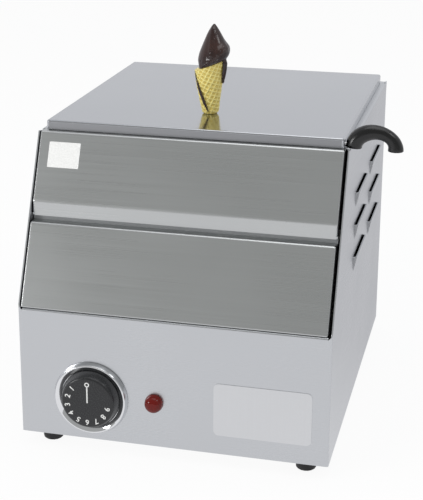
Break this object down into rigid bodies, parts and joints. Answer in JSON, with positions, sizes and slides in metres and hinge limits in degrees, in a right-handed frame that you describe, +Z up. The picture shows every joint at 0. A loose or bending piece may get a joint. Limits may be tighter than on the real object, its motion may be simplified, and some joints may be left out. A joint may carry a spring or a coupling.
{
  "type": "chocolate tempering machine",
  "caption": "Counter-top chocolate warmer of folded stainless sheet with a hinged lid, slanted front, lift-out pan, resting ladle, thermostat knob and pilot lamp on rubber feet.",
  "frame": {"origin": "middle of the machine's footprint box on the surface that the rubber feet stand on", "axes": "+Z up, the lower front with the thermostat knob faces -Y, +X to the right as seen from the front"},
  "size_m": [0.351, 0.3984, 0.3966],
  "materials": {
    "brushed_sheet": "fine horizontal brushing, softly reflecting",
    "drawn_steel": "smooth drawn stainless steel",
    "small_hardware": "bright plated steel",
    "chrome_trim": "polished",
    "black_plastic": "satin black moulding",
    "foot_rubber": "dull black rubber",
    "wafer_plastic": "moulded wafer lattice, matte",
    "chocolate_plastic": "glossy dark brown",
    "red_lens": "clear dark red",
    "element_sheath": "dull heat-darkened sheath",
    "ivory_plastic": "ivory moulding"
  },
  "bodies": {
    "case": {"side_wrap": "brushed_sheet", "lower_front_panel": "brushed_sheet", "upper_front_panel": "brushed_sheet", "top_deck": "brushed_sheet", "base_tray": "brushed_sheet", "back_panel": "brushed_sheet", "heated_well": "drawn_steel", "chocolate_pan": "drawn_steel", "back_screw_1": "small_hardware", "back_screw_2": "small_hardware", "back_screw_3": "small_hardware", "back_screw_4": "small_hardware", "back_screw_5": "small_hardware", "back_screw_6": "small_hardware", "foot_front_left": "foot_rubber", "foot_front_right": "foot_rubber", "foot_rear_left": "foot_rubber", "foot_rear_right": "foot_rubber", "foot_screw_front_left": "small_hardware", "foot_screw_front_right": "small_hardware", "foot_screw_rear_left": "small_hardware", "foot_screw_rear_right": "small_hardware", "hinge_left_body_leaf": "small_hardware", "hinge_right_body_leaf": "small_hardware", "hinge_left_pin": "small_hardware", "hinge_right_pin": "small_hardware", "knob_bezel": "chrome_trim", "thermostat_body": "black_plastic", "thermostat_bulb": "small_hardware", "bulb_clip": "small_hardware", "pilot_lamp_lens": "red_lens", "pilot_lamp_body": "black_plastic", "pilot_lamp_nut": "small_hardware", "heating_element": "element_sheath", "element_rest_left": "small_hardware", "element_rest_right": "small_hardware", "terminal_block": "ivory_plastic", "cord_bushing": "black_plastic"},
    "lid": {"lid_shell": "brushed_sheet", "hinge_left_lid_leaf": "small_hardware", "hinge_right_lid_leaf": "small_hardware", "cone_wafer": "wafer_plastic", "cone_topping": "chocolate_plastic", "cone_screw": "small_hardware"},
    "knob": {"thermostat_knob": "black_plastic", "thermostat_shaft": "small_hardware"},
    "ladle": {"ladle_handle": "black_plastic", "ladle_shank": "drawn_steel", "ladle_bowl": "drawn_steel"}
  },
  "joints": [
    {"name": "lid_hinge", "type": "hinge", "parent": "case", "child": "lid", "pos_m": [-0.02208, 0.18875, 0.3013], "axis": [-1, 0, 0], "range_deg": [0, 100]},
    {"name": "knob_turn", "type": "hinge", "parent": "case", "child": "knob", "pos_m": [-0.10068, -0.18625, 0.0574], "axis": [0, 1, 0], "range_deg": [0, 270]},
    {"name": "ladle_tilt", "type": "hinge", "parent": "case", "child": "ladle", "pos_m": [0.12792, -0.10225, 0.2983], "axis": [0, 1, 0], "range_deg": [0, 5]}
  ]
}
